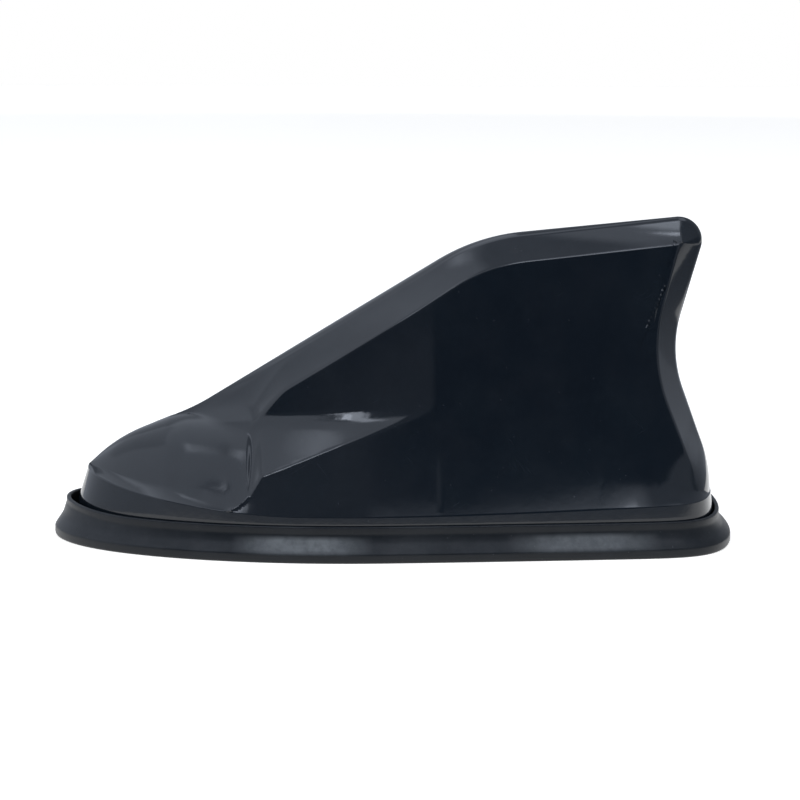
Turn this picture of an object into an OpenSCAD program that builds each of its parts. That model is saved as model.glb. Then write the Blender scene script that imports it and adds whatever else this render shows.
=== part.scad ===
/* [Skirt] */
// Overall length of the skirt, nose to tail
skirt_len = 170; // [160:1:185]
// Overall width of the skirt
skirt_wid = 76.4; // [72:0.2:84]
// Height of the skirt's lip above the roof
skirt_h = 8.3; // [7.8:0.1:9.5]
// How far the foot of the skirt spreads outside its lip
skirt_flare = 3; // [2:0.1:4.5]
// Thickness of the skirt's lip
lip_t = 1.1; // [0.8:0.1:1.6]
// Height of the plain edge at the foot of the skirt
foot_edge_h = 2.3; // [1.6:0.1:3]
// Height of the upright band below the rim of the lip
lip_band_h = 2.3; // [1.5:0.1:2.8]
// Room between the lip and the cover at the nose
nose_gap = 1.7; // [0.6:0.1:2.5]
// Room between the lip and the cover along the sides
side_gap = 0.35; // [0.2:0.05:0.8]
// Room between the lip and the cover at the tail
tail_gap = 0.5; // [0.3:0.1:2]
// Extra rise of the lip at the nose
nose_rise = 1.3; // [0:0.1:1.6]
// Thickness of the web that the cover clamps
web_t = 0.9; // [0.6:0.1:1.5]

/* [Cover] */
// Overall height of the fin above the roof
fin_h = 79.6; // [76.5:0.1:90]
// Wall of the cover
wall_t = 2.2; // [1.8:0.1:2.8]
// Rise of the upright band at the nose
nose_band = 9; // [7:0.1:10]
// Rise of the upright band along the sides
side_band = 2; // [1:0.1:3]
// Rise of the upright band at the tail
tail_band = 4.3; // [3:0.1:6]
// Width of the bevel round the edge of the fin
bevel_w = 6.5; // [5:0.1:8]
// Rounding of the upper rear tip
tip_r = 6; // [4:0.1:8]
// Hollow of the rear edge, radius
waist_r = 30; // [20:1:50]
// Bend between the ramp and the top, radius
bend_r = 50; // [40:1:80]
// Width of the fin at its top
top_wid = 15.4; // [14.6:0.1:18]
// Front end of the hollow beside the fin
scoop_x0 = -36; // [-40:1:-30]
// Rear end of the hollow beside the fin
scoop_x1 = 6; // [0:1:12]

/* [Base] */
// Thickness of the foam pad under the base
pad_t = 1.1; // [0.6:0.1:1.6]
// Thickness of the base plate
plate_t = 3; // [2.6:0.1:3.6]
// Wall of the rim that stands inside the cover
rim_t = 1.6; // [1.2:0.1:2.4]
// Place of the cable outlet along the length
outlet_x = 16; // [8:1:24]
// Bore of the cable outlet
outlet_d = 6; // [4:0.5:8]

/* [Electronics] */
// Thickness of the main board
board_t = 1.6; // [1:0.1:2]
// Width of the main board
board_wid = 29.97; // [26:0.01:31]
// Height of the board above the base plate
board_lift = 4.9; // [4:0.1:6]
// Place of the coil as a share of the way to the tail
coil_share = 0.572; // [0.54:0.004:0.588]
// Mean radius of the coil
coil_r = 4.3; // [4:0.1:4.6]
// Diameter of the coil's wire
wire_d = 0.9; // [0.6:0.1:1]
// Number of turns of the coil
coil_turns = 13; // [8:1:14]

/* [Hidden] */
$fn = 48;

// Levels, from the roof up
plate_z0 = pad_t;
plate_z1 = plate_z0 + plate_t;
cover_z0 = plate_z1 + web_t;
board_z0 = plate_z1 + board_lift;
board_z1 = board_z0 + board_t;

// Plan of the cover's foot
nose_x = -skirt_len / 2 + skirt_flare + lip_t + nose_gap;
tail_x = skirt_len / 2 - skirt_flare - lip_t - tail_gap;
half_wid = skirt_wid / 2 - skirt_flare - lip_t - side_gap;
widest_x = -8;
corner_x = tail_x - 14;
tail_narrowing = 4.4;
nose_pow = 2.05;
tail_pow = 20;

// Fits and clearances
fit = 0.3;
thread_fit = 0.05;
edge_in = 0.4;
rim_in = wall_t + fit;
embed = wall_t / 2;

// Screws
screw_r = 1.25;
screw_head_r = 2.3;
screw_head_h = 1.4;
boss_r = 3.4;
boss_in = 8.6;
mid_boss_x = 14;
boss_sites = [
    for (x = [nose_x + 45, mid_boss_x, tail_x - 22]) [x, side_w(x) * nose_close(x, nose_x) - boss_in]
];
nose_boss_x = nose_x + 13.2;

// Places along the length, each counted from what stands before it
board_x0 = nose_x + 21.2;
board_x1 = tail_x - 15;
can_x = board_x0 + 22;
socket_x = can_x + 24;
header_y = 0.3 * board_wid;
board_gap = 0.8;
board_screw_sites = [
    [board_x0 + 6, header_y], [socket_x + 14, board_wid / 2 - 3.5], [board_x1 - 5, header_y]
];
coil_x = coil_share * tail_x;
standoff_r = 2.8;
former_screw_reach = 8.5;

// Small sums
function clamp(v, lo = 0, hi = 1) = max(lo, min(hi, v));
function lerp(a, b, t) = a + (b - a) * t;
function ease(t) = let(u = clamp(t)) u * u * (3 - 2 * u);
function unit(v) = v / norm(v);
function blend_max(a, b, k) =
    let(h = clamp(0.5 + (a - b) / (2 * k)))
    lerp(b, a, h) + k * h * (1 - h);
function blend_min(a, b, k) = -blend_max(-a, -b, k);

// Half-width of the sides along the length, and how the two ends close
function side_w(x) =
    x < widest_x ? half_wid
    : half_wid - tail_narrowing * pow((x - widest_x) / (tail_x - widest_x), 1.3);
function nose_close(x, x0) =
    sqrt(max(0, 1 - pow(clamp((widest_x - x) / (widest_x - x0)), nose_pow)));
function tail_close(d) =
    sqrt(max(0, 1 - pow(clamp(1 - d / (tail_x - widest_x)), tail_pow)));

// Foot outline: g is 0 at the nose, 1 at the widest place, 2 before the tail corner, 3 at the tail
tail_turn = asin(tail_close(tail_x - corner_x));
function foot(g) =
    g < 1 ? [widest_x - (widest_x - nose_x) * pow(cos(90 * g), 2 / nose_pow), half_wid * sin(90 * g)]
    : g < 2 ? let(x = lerp(widest_x, corner_x, g - 1)) [x, side_w(x) * tail_close(tail_x - x)]
    : let(a = tail_turn * (3 - g), x = lerp(widest_x, tail_x, pow(cos(a), 2 / tail_pow)))
      [x, side_w(x) * sin(a)];
function foot_normal(g) =
    g <= 0 ? [-1, 0]
    : g >= 3 ? [1, 0]
    : let(e = 0.001, t = unit(foot(min(3, g + e)) - foot(max(0, g - e)))) [-t.y, t.x];
function plan(g, out) = foot(g) + out * foot_normal(g);
function mirrored(p) = [p.x, -p.y];

// Room between lip and cover on the way round
function lip_gap(g) =
    side_gap + (nose_gap - side_gap) * (1 - ease(g / 0.7)) + (tail_gap - side_gap) * ease((g - 2.1) / 0.8);

// Closed outline, moved out from the foot by a given amount
ROUND = [
    for (i = [0:14]) i / 14,
    for (i = [1:6]) 1 + i / 6,
    for (i = [1:10]) 2 + i / 10
];
function outline(out) = concat(
    [for (g = ROUND) plan(g, out)],
    [for (i = [len(ROUND) - 2:-1:1]) mirrored(plan(ROUND[i], out))]
);

// Upright band at the foot of the cover
function band_h(x) =
    x < -23 ? side_band + (nose_band - side_band) * pow((-23 - x) / (-23 - nose_x), 1.8)
    : x > 0 ? side_band + (tail_band - side_band) * pow(x / tail_x, 1.5)
    : side_band;
function band_lean(g) = lerp(lerp(0.31, 0.1, ease(g / 0.6)), 0.16, ease(g - 2));
function band_top(g) =
    let(h = band_h(foot(g).x), p = plan(g, -band_lean(g) * h))
    [p.x, p.y, skirt_h + h];

// Edge line of the fin in side view, as corners with the radius of each
function flat_xz(p) = [p.x, p.z];
edge_start = flat_xz(band_top(0));
edge_end = flat_xz(band_top(3));
dome_corner = [0.874 * nose_x, 24];
ramp_corner = [0.624 * nose_x, 32];
bend_corner = [0.259 * tail_x, fin_h - 4.9];
waist_corner = [0.866 * tail_x, 46];
heel_corner = [edge_end.x, 19];
heel_r = 40;
tip_center = [0.887 * tail_x, fin_h - tip_r];

// Upper rear corner, where the lines that touch the tip's circle from both sides meet
function heading(a) = [cos(a), sin(a)];
function turn_to(p, side) =
    let(v = tip_center - p)
    atan2(v.y, v.x) + side * asin(tip_r / norm(v));
function meet(p, a, q, b) =
    p + heading(a) * cross(q - p, heading(b)) / cross(heading(a), heading(b));
tip_corner = meet(bend_corner, turn_to(bend_corner, 1), waist_corner, turn_to(waist_corner, -1));
EDGE = [
    [edge_start, 0], [dome_corner, 36], [ramp_corner, bend_r], [bend_corner, bend_r],
    [tip_corner, tip_r], [waist_corner, waist_r], [heel_corner, heel_r], [edge_end, 0]
];

// One rounded corner: where its arc starts and ends, and its centre
function corner(i) =
    let(
        p = EDGE[i][0],
        r = EDGE[i][1],
        a = unit(EDGE[i - 1][0] - p),
        b = unit(EDGE[i + 1][0] - p),
        half = acos(a * b) / 2
    )
    [p + a * r / tan(half), p + b * r / tan(half), p + unit(a + b) * r / sin(half)];
function arc_points(c, n) =
    let(
        from = c[0] - c[2],
        to = c[1] - c[2],
        a0 = atan2(from.y, from.x),
        turn = (atan2(to.y, to.x) - a0 + 540) % 360 - 180
    )
    [for (k = [0:n - 1]) c[2] + norm(from) * [cos(a0 + turn * k / n), sin(a0 + turn * k / n)]];
function line_points(p, q, n, ease_in = 1) = [for (k = [0:n - 1]) lerp(p, q, pow(k / n, ease_in))];

// Steps along each straight and each arc of the edge line, closer where the hollow starts
line_steps = [2, 3, 12, 4, 3, 4, 3];
arc_steps = [3, 4, 5, 6, 5, 3];
ramp_ease = 1.35;
edge_line = concat(
    [for (i = [0:6]) each concat(
        line_points(
            i == 0 ? edge_start : corner(i)[1],
            i == 6 ? edge_end : corner(i + 1)[0],
            line_steps[i],
            i == 2 ? ramp_ease : 1
        ),
        i < 6 ? arc_points(corner(i + 1), arc_steps[i]) : []
    )],
    [edge_end]
);
last = len(edge_line) - 1;

// Place on the foot outline that each end of a straight or an arc looks down to
function steps_to(i) = i == 0 ? 0 : steps_to(i - 1) + line_steps[i - 1] + arc_steps[i - 1];
foot_marks = [
    [0, 0], [steps_to(0) + line_steps[0], 0.2], [steps_to(1), 0.38],
    [steps_to(1) + line_steps[1], 0.56], [steps_to(2), 0.7],
    [steps_to(2) + line_steps[2], 1.13], [steps_to(3), 1.44],
    [steps_to(3) + line_steps[3], 1.68], [steps_to(4), 1.75],
    [steps_to(4) + line_steps[4], 1.84], [steps_to(5), 1.95],
    [steps_to(5) + 4, 2.1], [last, 3]
];
function foot_mark(i) =
    let(first = steps_to(2), n = line_steps[2])
    i > first && i < first + n
    ? lerp(0.7, 1.13, pow((i - first) / n, ramp_ease))
    : lookup(i, foot_marks);
function edge_tangent(i) = unit(edge_line[min(i + 1, last)] - edge_line[max(i - 1, 0)]);
function edge_inward(i) = let(t = edge_tangent(i)) [t.y, -t.x];

// Distance of a point of the side view from the edge line
function segment_distance(p, a, b) =
    let(v = b - a, t = clamp((p - a) * v / (v * v)))
    norm(p - a - t * v);
function edge_distance(p) = min([for (i = [0:last - 1]) segment_distance(p, edge_line[i], edge_line[i + 1])]);

// Half-width of the sides, which draw in with height
function draw_in(z) =
    let(u = max(0, z - skirt_h - side_band) / (fin_h - skirt_h - side_band))
    (half_wid - 0.5 - top_wid / 2) * (1.357 * u - 0.357 * u * u);
function side_face(x, z) = side_w(x) * nose_close(x, edge_start.x) - 0.5 - draw_in(z);

// Half-width of the fin, which narrows towards the nose
function fin_narrowing(x) = let(u = scoop_x1 + 4 - x) u < 0 ? 0 : 0.25 * (u - 8 + 8 * exp(-u / 8));
function fin_face(x, z) = side_face(x, z) - fin_narrowing(x);

// Shoulder crease, which runs round the dome of the nose and then up to the root of the fin
function shoulder_z(x) =
    blend_min(
        17.9 + 0.372 * (x - scoop_x0),
        skirt_h + band_h(x) + 0.116 * pow(max(0, x - scoop_x0 + 5.5), 2),
        0.8
    );

// Hollow beside the fin, between the shoulder crease and the root of the fin
function root_z(x) = 30 + 0.11 * (x - scoop_x0);
function scoop_face(x, z) =
    let(
        z0 = shoulder_z(x),
        z1 = root_z(x),
        u = (z - z0) / max(0.3, z1 - z0),
        root = fin_face(x, z1)
    )
    z <= z0 ? side_face(x, z)
    : z1 - z0 < 0.3 ? min(side_face(x, z), fin_face(x, z))
    : u >= 1 ? root - 1.5 * (z - z1)
    : root + (side_face(x, z0) - root) * pow(1 - u, 1.1);

// Dome of the nose
function dome_top(x) =
    blend_min(
        lookup(x, [for (i = [0:steps_to(2)]) edge_line[i]]),
        ramp_corner.y - 1.7 + 0.05 * (x - ramp_corner.x + 4),
        1.2
    );
function dome_face(x, z) =
    let(
        z0 = shoulder_z(x),
        u = clamp((z - z0) / max(0.01, dome_top(x) - z0)),
        fade = 1 - 0.95 * ease((x - scoop_x0 + 0.5) / 6.5)
    )
    x > scoop_x0 + 16 || z < z0 ? 0
    : max(0, side_face(x, z0) * fade * sqrt(1 - pow(u, 1.05)));

// How the width closes over the bevel and the rounded edge line, d inside that line
function bevel_w_at(x) = bevel_w + 8 * (1 - ease((x - scoop_x0 + 10) / 20));
function bevel_close(x, d) = let(u = clamp(d / bevel_w_at(x))) min(sqrt(u), 0.27 + 0.73 * u);
function rear_close(x, z, d) = lerp(tail_close(d), bevel_close(x, d), ease((z - 14) / 14));

// Half-width of the outside at x and z, d inside the edge line
function outside(x, z, d) =
    let(k = max(0.01, 1.4 * ease((scoop_x1 + 4 - x) / 22)))
    x > scoop_x1 + 4 ? side_face(x, z) * rear_close(x, z, d)
    : blend_max(
        fin_face(x, z) * bevel_close(x, d),
        blend_max(dome_face(x, z), scoop_face(x, z) * (x > scoop_x0 + 16 ? bevel_close(x, d) : 1), k),
        k
    );

// Rows of the skin between the band and the edge line, and the distances of the last rows inside it
SKIN_ROWS = 12;
SKIN_INSETS = [8, 6.5, 4.1, 1.8, 0.9, 0.3, 0];
LINING_ROWS = 6;
LINING_INSETS = [5.5, 3.6, 2.2, 1.1, 0.3, 0];
ridge_in = 3;

// One rib of the skin, from the top of the band up to the edge line, as points with y outward
function rib(i, rows, insets, inset0, face, foot_out) =
    let(
        g = foot_mark(i),
        b = band_top(g),
        nrm = foot_normal(g),
        s = [b.x + foot_out * nrm.x, b.z],
        c0 = edge_line[i],
        room = edge_distance(s),
        squeeze = min(1, room / (inset0 + insets[0]) / 1.3),
        path = concat(
            [for (k = [0:rows - 1]) lerp(s, c0 + edge_inward(i) * (inset0 + insets[0]) * squeeze, k / rows)],
            [for (k = insets) c0 + edge_inward(i) * (inset0 + k) * squeeze]
        ),
        y0 = b.y + foot_out * nrm.y,
        miss = y0 - call_face(face, s.x, s.y)
    )
    i == 0 || i == last ? [for (k = path) [s.x, 0, s.y]]
    : [for (k = [0:len(path) - 1])
        let(
            p = path[k],
            y = call_face(face, p.x, p.y) + miss * pow(1 - clamp(k / rows / 0.3), 2)
        )
        [p.x, k == len(path) - 1 ? 0 : max(0.02, y), p.y]
    ];

// Outer and inner face by name
function lining(x, z, d) =
    let(u = clamp((d - ridge_in) / ridge_in))
    max(0, outside(x, z, d) - wall_t) * sqrt(max(0, 1 - pow(1 - u, 2)));
function call_face(face, x, z) =
    let(d = edge_distance([x, z]))
    face == 0 ? outside(x, z, d) : lining(x, z, d);

// Ribs from the bottom edge of the cover up
function full_rib(i, inner) =
    let(
        g = foot_mark(i),
        out = inner ? -wall_t : 0,
        p = plan(g, out),
        end = i == 0 || i == last,
        y = end ? 0 : p.y
    )
    concat(
        [[p.x, y, cover_z0], [p.x, y, skirt_h]],
        inner ? rib(i, LINING_ROWS, LINING_INSETS, ridge_in, 1, out)
        : rib(i, SKIN_ROWS, SKIN_INSETS, 0, 0, 0)
    );

// Closed shell from two skins that meet at the bottom edge.  Points run along each rib,
// first on the +y side, then on the other.
module shell_solid() {
    outer = [for (i = [0:last]) full_rib(i, false)];
    inner = [for (i = [0:last]) full_rib(i, true)];
    n_out = len(outer[0]);
    n_in = len(inner[0]);
    sides = last + 1;
    in_start = 2 * sides * n_out;
    points = concat(
        [for (r = outer) each r],
        [for (r = outer) each [for (p = r) [p.x, -p.y, p.z]]],
        [for (r = inner) each r],
        [for (r = inner) each [for (p = r) [p.x, -p.y, p.z]]]
    );
    faces = concat(
        skin_faces(outer, 0, false),
        skin_faces(inner, in_start, true),
        [for (i = [0:last - 1]) each [
            [vertex(i, 0, 0, n_out, 0, sides), vertex(i, 0, 0, n_in, in_start, sides),
             vertex(i + 1, 0, 0, n_in, in_start, sides)],
            [vertex(i, 0, 0, n_out, 0, sides), vertex(i + 1, 0, 0, n_in, in_start, sides),
             vertex(i + 1, 0, 0, n_out, 0, sides)],
            [vertex(i, 0, 1, n_out, 0, sides), vertex(i + 1, 0, 1, n_in, in_start, sides),
             vertex(i, 0, 1, n_in, in_start, sides)],
            [vertex(i, 0, 1, n_out, 0, sides), vertex(i + 1, 0, 1, n_out, 0, sides),
             vertex(i + 1, 0, 1, n_in, in_start, sides)]
        ]]
    );
    polyhedron(points, faces, convexity = 6);
}

// Number of a point: ribs share their ends on the centre plane
function vertex(i, j, side, n, start, sides) =
    let(end = i == 0 || i == sides - 1, row = end ? min(j, 2) : j, s = end || j == n - 1 ? 0 : side)
    start + (s * sides + i) * n + row;
function tri(a, b, c, flip) =
    a == b || b == c || c == a ? [] : [flip ? [a, c, b] : [a, b, c]];

// Faces of one skin: each cell between two ribs is split along its shorter diagonal
function skin_faces(ribs, start, inner) = [
    let(n = len(ribs[0]), sides = len(ribs))
    for (side = [0, 1]) for (i = [0:sides - 2]) for (j = [0:n - 2])
    let(
        a = vertex(i, j, side, n, start, sides),
        b = vertex(i + 1, j, side, n, start, sides),
        c = vertex(i + 1, j + 1, side, n, start, sides),
        d = vertex(i, j + 1, side, n, start, sides),
        flip = inner != (side == 1),
        across = norm(ribs[i][j] - ribs[i + 1][j + 1]) > norm(ribs[i + 1][j] - ribs[i][j + 1])
            && i > 0 && i < sides - 2
    )
    each across ? concat(tri(a, b, d, flip), tri(b, c, d, flip))
    : concat(tri(a, b, c, flip), tri(a, c, d, flip))
];

// Screw posts inside the cover, each tied to the wall by a rib
module boss_hole() {
    translate([0, 0, plate_z1 - 1]) cylinder(r = screw_r + thread_fit, h = 12);
}
function wall_mid(x, z) = outside(x, z, 40) - embed;
module side_boss(p) {
    post_h = 9.5;
    rib_t = 1.6;
    z0 = skirt_h + band_h(p.x) + 0.6;
    z1 = plate_z1 + post_h;
    difference() {
        union() {
            translate([p.x, p.y, plate_z1]) cylinder(r = boss_r, h = post_h);
            translate([p.x + rib_t / 2, 0, 0]) rotate([90, 0, -90]) linear_extrude(rib_t)
                polygon([[-p.y, z0], [-wall_mid(p.x, z0), z0], [-wall_mid(p.x, z1), z1], [-p.y, z1]]);
        }
        translate([p.x, p.y, 0]) boss_hole();
    }
}
module nose_boss() {
    rib_t = 1.6;
    z0 = skirt_h + 1;
    z1 = skirt_h + nose_band - 1.5;
    function nose_mid(z) = nose_x + band_lean(0) * (z - skirt_h) + embed;
    difference() {
        union() {
            translate([nose_boss_x, 0, plate_z1]) cylinder(r = boss_r, h = z1 - plate_z1);
            translate([0, rib_t / 2, 0]) rotate([90, 0, 0]) linear_extrude(rib_t)
                polygon([[nose_mid(z0), z0], [nose_boss_x, z0], [nose_boss_x, z1], [nose_mid(z1), z1]]);
        }
        translate([nose_boss_x, 0, 0]) boss_hole();
    }
}
module fin_cover() {
    color([0.09, 0.11, 0.14]) union() {
        shell_solid();
        for (p = boss_sites) for (s = [-1, 1]) mirror([0, s < 0 ? 1 : 0, 0]) side_boss(p);
        nose_boss();
    }
}

// Section of the skirt, as distance out from the cover's foot and height
function skirt_section(g) =
    let(
        in = lip_gap(g),
        lip = in + lip_t,
        toe = lip + skirt_flare,
        nose_share = 1 - ease(g / 0.45),
        rim = skirt_h + nose_rise * nose_share,
        band_low = skirt_h - lip_band_h + 1.9 * nose_share,
        soft = 0.35,
        neck = 0.45,
        bead = 0.7
    )
    [
        [-wall_t, plate_z1], [fit / 2, plate_z1], [fit / 2, 0],
        [1.3, 0], [1.3 + bead / 2, bead], [2.1, bead], [2.1 + bead / 2, 0],
        [toe - bead, 0], [toe, bead], [toe, foot_edge_h],
        [lip + 0.9, foot_edge_h + 2.1 + nose_share], [lip + neck / 2, band_low - neck / 2],
        [lip, band_low + neck], [lip, rim - soft],
        [lip - soft, rim], [in + soft, rim], [in, rim - soft],
        [in, cover_z0], [-wall_t, cover_z0]
    ];
SKIRT_ROUND = [
    for (i = [0:15]) i / 15,
    for (i = [1:7]) 1 + i / 7,
    for (i = [1:14]) 2 + i / 14
];
module rubber_skirt() {
    n = len(skirt_section(0));
    half = [for (g = SKIRT_ROUND) [for (p = skirt_section(g)) let(q = plan(g, p.x)) [q.x, q.y, p.y]]];
    rings = concat(
        half,
        [for (i = [len(half) - 2:-1:1]) [for (p = half[i]) [p.x, -p.y, p.z]]]
    );
    m = len(rings);
    color([0.13, 0.14, 0.15]) polyhedron(
        [for (r = rings) each r],
        [for (i = [0:m - 1]) for (j = [0:n - 1])
            let(
                a = i * n + j,
                b = i * n + (j + 1) % n,
                c = ((i + 1) % m) * n + (j + 1) % n,
                d = ((i + 1) % m) * n + j
            )
            each [[a, c, b], [a, d, c]]],
        convexity = 6
    );
}

// Base plate with the rim that locates the cover
module at_screws() {
    for (p = boss_sites) for (s = [-1, 1]) translate([p.x, s * p.y, 0]) children();
    translate([nose_boss_x, 0, 0]) children();
}
module at_board_screws() {
    for (p = board_screw_sites) for (s = [-1, 1]) translate([p.x, s * p.y, 0]) children();
}
module at_former_screws() {
    for (s = [-1, 1]) translate([coil_x + s * former_screw_reach, 0, 0]) children();
}
grommet_neck_r = outlet_d / 2 + 3;
grommet_flange_r = grommet_neck_r + 2;
head_seat_z = plate_z0 + screw_head_h + fit;
rim_top_z = skirt_h - 0.1;
module base_plate() {
    color([0.16, 0.16, 0.17]) difference() {
        union() {
            translate([0, 0, plate_z0]) linear_extrude(plate_t) polygon(outline(-edge_in));
            translate([0, 0, plate_z1 - 0.5]) linear_extrude(rim_top_z - plate_z1 + 0.5) difference() {
                polygon(outline(-rim_in));
                polygon(outline(-rim_in - rim_t));
            }
            at_board_screws() translate([0, 0, plate_z1 - 0.5]) cylinder(r = standoff_r, h = board_lift + 0.5);
            at_former_screws() translate([0, 0, plate_z1 - 0.5]) cylinder(r = standoff_r, h = board_lift + 0.5);
        }
        at_screws() {
            cylinder(r = screw_r + fit / 2, h = plate_z1 + 1);
            cylinder(r = screw_head_r + fit, h = head_seat_z);
        }
        at_board_screws() translate([0, 0, plate_z1 - 1.5]) cylinder(r = screw_r + thread_fit, h = skirt_h);
        at_former_screws() translate([0, 0, plate_z1 - 1.5]) cylinder(r = screw_r + thread_fit, h = skirt_h);
        translate([outlet_x, 0, 0]) cylinder(r = grommet_neck_r + fit / 3, h = skirt_h);
    }
}

// Foam pad that sticks the base to the roof
module adhesive_pad() {
    color([0.2, 0.2, 0.2]) difference() {
        linear_extrude(pad_t) polygon(outline(-edge_in - 1));
        translate([outlet_x, 0, -1]) cylinder(r = grommet_flange_r + fit, h = pad_t + 2);
    }
}

// Rubber sleeve of the cable outlet
module cable_grommet() {
    bore = outlet_d / 2;
    color([0.1, 0.1, 0.1]) translate([outlet_x, 0, 0]) rotate_extrude() polygon([
        [bore, 0.2], [grommet_flange_r - 0.3, 0.2], [grommet_flange_r, 0.5], [grommet_flange_r, plate_z0],
        [grommet_neck_r, plate_z0], [grommet_neck_r, plate_z1], [grommet_flange_r, plate_z1],
        [grommet_flange_r, plate_z1 + 1], [grommet_neck_r - 1, plate_z1 + 2.8], [bore, plate_z1 + 2.8]
    ]);
}

// Pan head screw, standing head up with its seat at z = 0
module screw(shank) {
    difference() {
        union() {
            cylinder(r1 = screw_head_r, r2 = screw_head_r - 0.5, h = screw_head_h);
            translate([0, 0, -shank]) cylinder(r = screw_r, h = shank + 0.5);
        }
        for (a = [0, 90]) rotate([0, 0, a]) translate([-1.2, -0.25, screw_head_h - 0.8]) cube([2.4, 0.5, 1]);
    }
}
module cover_screws() {
    color("silver") at_screws() translate([0, 0, head_seat_z]) rotate([180, 0, 0]) screw(9);
}

// Main board on its standoffs
module main_board() {
    chamfer = 7;
    w = board_wid / 2;
    color([0.05, 0.3, 0.15]) difference() {
        translate([0, 0, board_z0]) linear_extrude(board_t) polygon([
            [board_x0, -w + chamfer], [board_x0 + chamfer, -w], [board_x1, -w],
            [board_x1, w], [board_x0 + chamfer, w], [board_x0, w - chamfer]
        ]);
        at_board_screws() cylinder(r = screw_r + fit / 2, h = fin_h);
        at_former_screws() cylinder(r = screw_r + fit / 2, h = fin_h);
        at_screws() cylinder(r = boss_r + board_gap, h = fin_h);
        translate([outlet_x, 0, 0]) cylinder(r = grommet_neck_r, h = fin_h);
    }
}
module board_screws() {
    color("silver") at_board_screws() translate([0, 0, board_z1]) screw(5.5);
}

// Tin can over the amplifier
can_len = 26;
can_wid = 19.98;
can_h = 4.6;
can_t = 0.3;
module shield_can() {
    color("silver") translate([can_x, 0, board_z1]) difference() {
        translate([-can_len / 2, -can_wid / 2, 0]) cube([can_len, can_wid, can_h]);
        translate([-can_len / 2 + can_t, -can_wid / 2 + can_t, -1])
            cube([can_len - 2 * can_t, can_wid - 2 * can_t, can_h + 1 - can_t]);
        for (x = [-9:4.5:9]) for (y = [-6, 6]) translate([x, y, 0]) cylinder(d = 1.6, h = can_h + 1);
    }
}

// Parts soldered to the board
module chip(size, legs) {
    translate([-size.x / 2, -size.y / 2, 0.15]) cube([size.x, size.y, size.z]);
    for (x = [0:legs - 1]) for (s = [-1, 1])
        translate([(x - (legs - 1) / 2) * 1.27 - 0.2, s * size.y / 2 - 0.6, 0]) cube([0.4, 1.2, 0.4]);
}
module amplifier_chip() {
    color([0.1, 0.1, 0.1]) translate([can_x - 4, 0, board_z1]) chip([5.4, 4, 1.3], 4);
}
module chip_capacitors() {
    color([0.7, 0.6, 0.45]) for (p = [[-11, 6], [-8, 6], [-11, -6], [4, 6], [7, -6], [20, 10], [24, -10], [56, -11]])
        translate([can_x + p.x - 1, p.y - 0.6, board_z1]) cube([2, 1.2, 1]);
}
module chip_resistors() {
    color([0.12, 0.12, 0.14]) for (p = [[-4, 6], [-5, -6], [0, -6], [4, -3], [32, 11], [28, -10]])
        translate([can_x + p.x - 0.8, p.y - 0.5, board_z1]) cube([1.6, 1, 0.5]);
}
module filter_coils() {
    color([0.25, 0.22, 0.2]) for (p = [[5, 1], [9, 5], [9, -2.5]]) translate([can_x + p.x, p.y, board_z1]) {
        cylinder(r = 1.6, h = 0.6);
        cylinder(r = 1.1, h = 2.4);
        translate([0, 0, 1.8]) cylinder(r = 1.6, h = 0.6);
    }
}

// Socket for the aerial lead, lying along the board towards the outlet
socket_z = board_z1 + 3.2;
socket_bore = 1.7;
module along_x(x, z) {
    translate([x, 0, z]) rotate([0, 90, 0]) children();
}
module lead_socket() {
    color("gold") difference() {
        union() {
            translate([socket_x, -3.2, board_z1]) cube([6.4, 6.4, 6.4]);
            along_x(socket_x + 6, socket_z) cylinder(r = 2.6, h = 7);
            along_x(socket_x + 11, socket_z) cylinder(r = 2.9, h = 1);
        }
        along_x(socket_x + 1, socket_z) cylinder(r = socket_bore, h = 20);
    }
}
module socket_insulator() {
    color("white") difference() {
        along_x(socket_x + 1, socket_z) cylinder(r = socket_bore - thread_fit, h = 6);
        along_x(socket_x, socket_z) cylinder(r = 0.5, h = 20);
    }
}
module socket_pin() {
    color("gold") along_x(socket_x + 1.5, socket_z) cylinder(r = 0.5 - thread_fit, h = 9);
}

// Two-way header for the supply lead
module supply_header() {
    color("ivory") difference() {
        translate([socket_x, header_y - 2.6, board_z1]) cube([6, 5.2, 5]);
        translate([socket_x + 2, header_y - 2, board_z1 + 0.8]) cube([10, 4, 3.4]);
        for (s = [-1, 1]) translate([0, header_y + s, 0]) along_x(socket_x - 1, board_z1 + 2.5)
            cylinder(r = 0.35, h = 10);
    }
}
module header_pins() {
    color("silver") for (s = [-1, 1]) translate([0, header_y + s, 0]) along_x(socket_x, board_z1 + 2.5)
        cylinder(r = 0.35 - thread_fit, h = 5.5);
}

// Moulded post that carries the coil
former_foot_t = 2;
post_r = coil_r - wire_d / 2 - 0.15;
coil_z0 = board_z1 + former_foot_t + 3;
plate_top_z = fin_h - 12.6;
sheet_t = 0.5;
coil_z1 = plate_top_z - sheet_t - 4;
former_flange_r = coil_r + wire_d / 2 + 0.2;
module coil_former() {
    foot_w = 12;
    notch = wire_d + 0.3;
    color([0.85, 0.82, 0.75]) difference() {
        union() {
            translate([coil_x - former_screw_reach - 4, -foot_w / 2, board_z1])
                cube([2 * former_screw_reach + 8, foot_w, former_foot_t]);
            translate([coil_x, 0, board_z1]) cylinder(r = post_r, h = plate_top_z - sheet_t - board_z1);
            translate([coil_x, 0, board_z1]) cylinder(r = former_flange_r, h = coil_z0 - board_z1 - 1);
            translate([coil_x, 0, coil_z1 + 1]) cylinder(r = former_flange_r, h = 1.4);
        }
        translate([coil_x, coil_r - notch / 2, board_z1 - 1]) translate([-notch / 2, 0, 0])
            cube([notch, coil_r + wire_d, fin_h]);
        translate([coil_x, 0, plate_top_z - sheet_t - 6]) cylinder(r = screw_r + thread_fit, h = 10);
        at_former_screws() cylinder(r = screw_r + fit / 2, h = fin_h);
    }
}
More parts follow.
